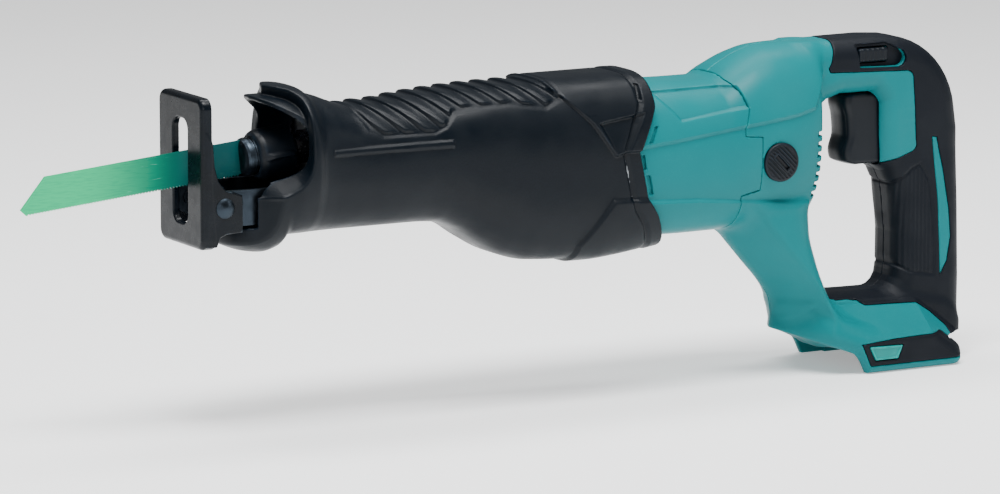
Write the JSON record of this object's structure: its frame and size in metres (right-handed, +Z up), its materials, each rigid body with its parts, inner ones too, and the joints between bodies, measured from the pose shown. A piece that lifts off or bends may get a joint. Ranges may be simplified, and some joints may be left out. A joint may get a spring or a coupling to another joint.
{
  "type": "reciprocating saw",
  "caption": "Cordless reciprocating saw without battery: rubber-covered gear case, pivoting shoe, keyless blade clamp and blade, round motor housing, D-handle with trigger.",
  "frame": {"origin": "where the spindle axis crosses the front face of the shoe, at rest", "axes": "blade points along -X, handle at +X, +Z up, +Y the tool's right side and -Y its left side"},
  "size_m": [0.5832, 0.081, 0.188],
  "materials": {
    "black_rubber": "matte moulded rubber",
    "soft_grip": "matte textured rubber",
    "teal_plastic": "satin glass-filled nylon",
    "black_plastic": "satin glass-filled nylon",
    "teal_badge": "gloss label",
    "gloss_black_steel": "gloss black enamel",
    "gear_case_alloy": "die-cast",
    "machined_steel": "ground",
    "bearing_steel": "polished",
    "dark_steel": "black oxide",
    "blade_coat": "satin paint",
    "bronze": "sintered bronze",
    "copper": "copper",
    "lamination_steel": "stacked sheet steel",
    "ferrite": "sintered ferrite",
    "carbon": "carbon",
    "spring_steel": "wire",
    "brass_contact": "plated brass",
    "red_wire": "wire insulation",
    "circuit_board": "coated circuit board"
  },
  "bodies": {
    "body": {"gear_cover": "black_rubber", "motor_housing": "teal_plastic", "handle_left": "teal_plastic", "handle_right": "teal_plastic", "grip_left": "soft_grip", "grip_right": "soft_grip", "badge_left": "teal_badge", "badge_right": "teal_badge", "gear_case_upper": "gear_case_alloy", "gear_case_lower": "gear_case_alloy", "bearing_plate": "gear_case_alloy", "gear_case_screws": "dark_steel", "housing_screws": "dark_steel", "crank_bearing_upper": "bearing_steel", "crank_bearing_lower": "bearing_steel", "slider_bush_front": "bronze", "slider_bush_rear": "bronze", "slider_seal": "black_rubber", "shoe_button_spring": "spring_steel", "motor_bearing_front": "bearing_steel", "motor_bearing_rear": "bearing_steel", "motor_yoke": "lamination_steel", "field_magnets": "ferrite", "brush_holders": "brass_contact", "carbon_brushes": "carbon", "brush_springs": "spring_steel", "brush_cap_left": "black_plastic", "brush_cap_right": "black_plastic", "trigger_spring": "spring_steel", "switch_unit": "black_plastic", "terminal_block": "black_plastic", "terminal_contacts": "brass_contact", "motor_leads": "red_wire", "controller": "circuit_board"},
    "crank": {"crank_gear": "machined_steel", "crank_shaft": "machined_steel", "crank_pin": "machined_steel", "crank_roller": "bearing_steel"},
    "armature": {"armature_shaft": "machined_steel", "bevel_pinion": "machined_steel", "armature_core": "lamination_steel", "armature_windings": "copper", "commutator": "copper", "fan": "black_plastic"},
    "slider": {"slider": "machined_steel", "clamp_body": "dark_steel", "clamp_ring": "spring_steel", "clamp_spring": "spring_steel", "blade": "blade_coat"},
    "clamp_sleeve": {"clamp_sleeve": "black_plastic"},
    "clamp_pin": {"clamp_pin": "machined_steel"},
    "shoe_slide": {"shoe_bracket": "gloss_black_steel"},
    "shoe": {"shoe": "gloss_black_steel", "shoe_rivets": "machined_steel"},
    "shoe_button": {"shoe_button": "black_plastic", "shoe_button_stem": "machined_steel"},
    "trigger": {"trigger": "black_plastic"},
    "lock_bar": {"lock_bar": "black_plastic"}
  },
  "joints": [
    {"name": "armature_spin", "type": "hinge", "parent": "body", "child": "armature", "pos_m": [0, 0, -0.019], "axis": [1, 0, 0], "continuous": true},
    {"name": "crank_spin", "type": "hinge", "parent": "body", "child": "crank", "pos_m": [0.205, 0, 0], "axis": [0, 0, 1], "continuous": true},
    {"name": "slider_stroke", "type": "slide", "parent": "body", "child": "slider", "axis": [0.9957, 0, 0.0924], "range_m": [-0.016, 0.016]},
    {"name": "clamp_sleeve_turn", "type": "hinge", "parent": "slider", "child": "clamp_sleeve", "pos_m": [0, 0, 0], "axis": [0.9957, 0, 0.0924], "range_deg": [0, 75], "stiffness_Nm_per_rad": 0.02, "springref_deg": -28.65},
    {"name": "clamp_pin_lift", "type": "slide", "parent": "slider", "child": "clamp_pin", "axis": [0, 1, 0], "range_m": [0, 0.0016]},
    {"name": "shoe_extend", "type": "slide", "parent": "body", "child": "shoe_slide", "axis": [-1, 0, 0], "range_m": [0, 0.03]},
    {"name": "shoe_tilt", "type": "hinge", "parent": "shoe_slide", "child": "shoe", "pos_m": [0.0137, 0, -0.0186], "axis": [0, 1, 0], "range_deg": [-15, 20]},
    {"name": "shoe_button_press", "type": "slide", "parent": "body", "child": "shoe_button", "axis": [0, -1, 0], "range_m": [0, 0.003], "stiffness_N_per_m": 900, "springref_m": -0.002, "deforming": ["shoe_button_spring"]},
    {"name": "trigger_pull", "type": "slide", "parent": "body", "child": "trigger", "axis": [1, 0, 0], "range_m": [0, 0.0065], "stiffness_N_per_m": 800, "springref_m": -0.004, "deforming": ["trigger_spring"]},
    {"name": "lock_bar_push", "type": "slide", "parent": "body", "child": "lock_bar", "axis": [0, 1, 0], "range_m": [0, 0.003]}
  ],
  "couplings": [
    {"joint": "crank_spin", "follows": "armature_spin", "ratio": 0.16667},
    {"joint": "clamp_pin_lift", "follows": "clamp_sleeve_turn", "m_per_rad": 0.0012222}
  ]
}
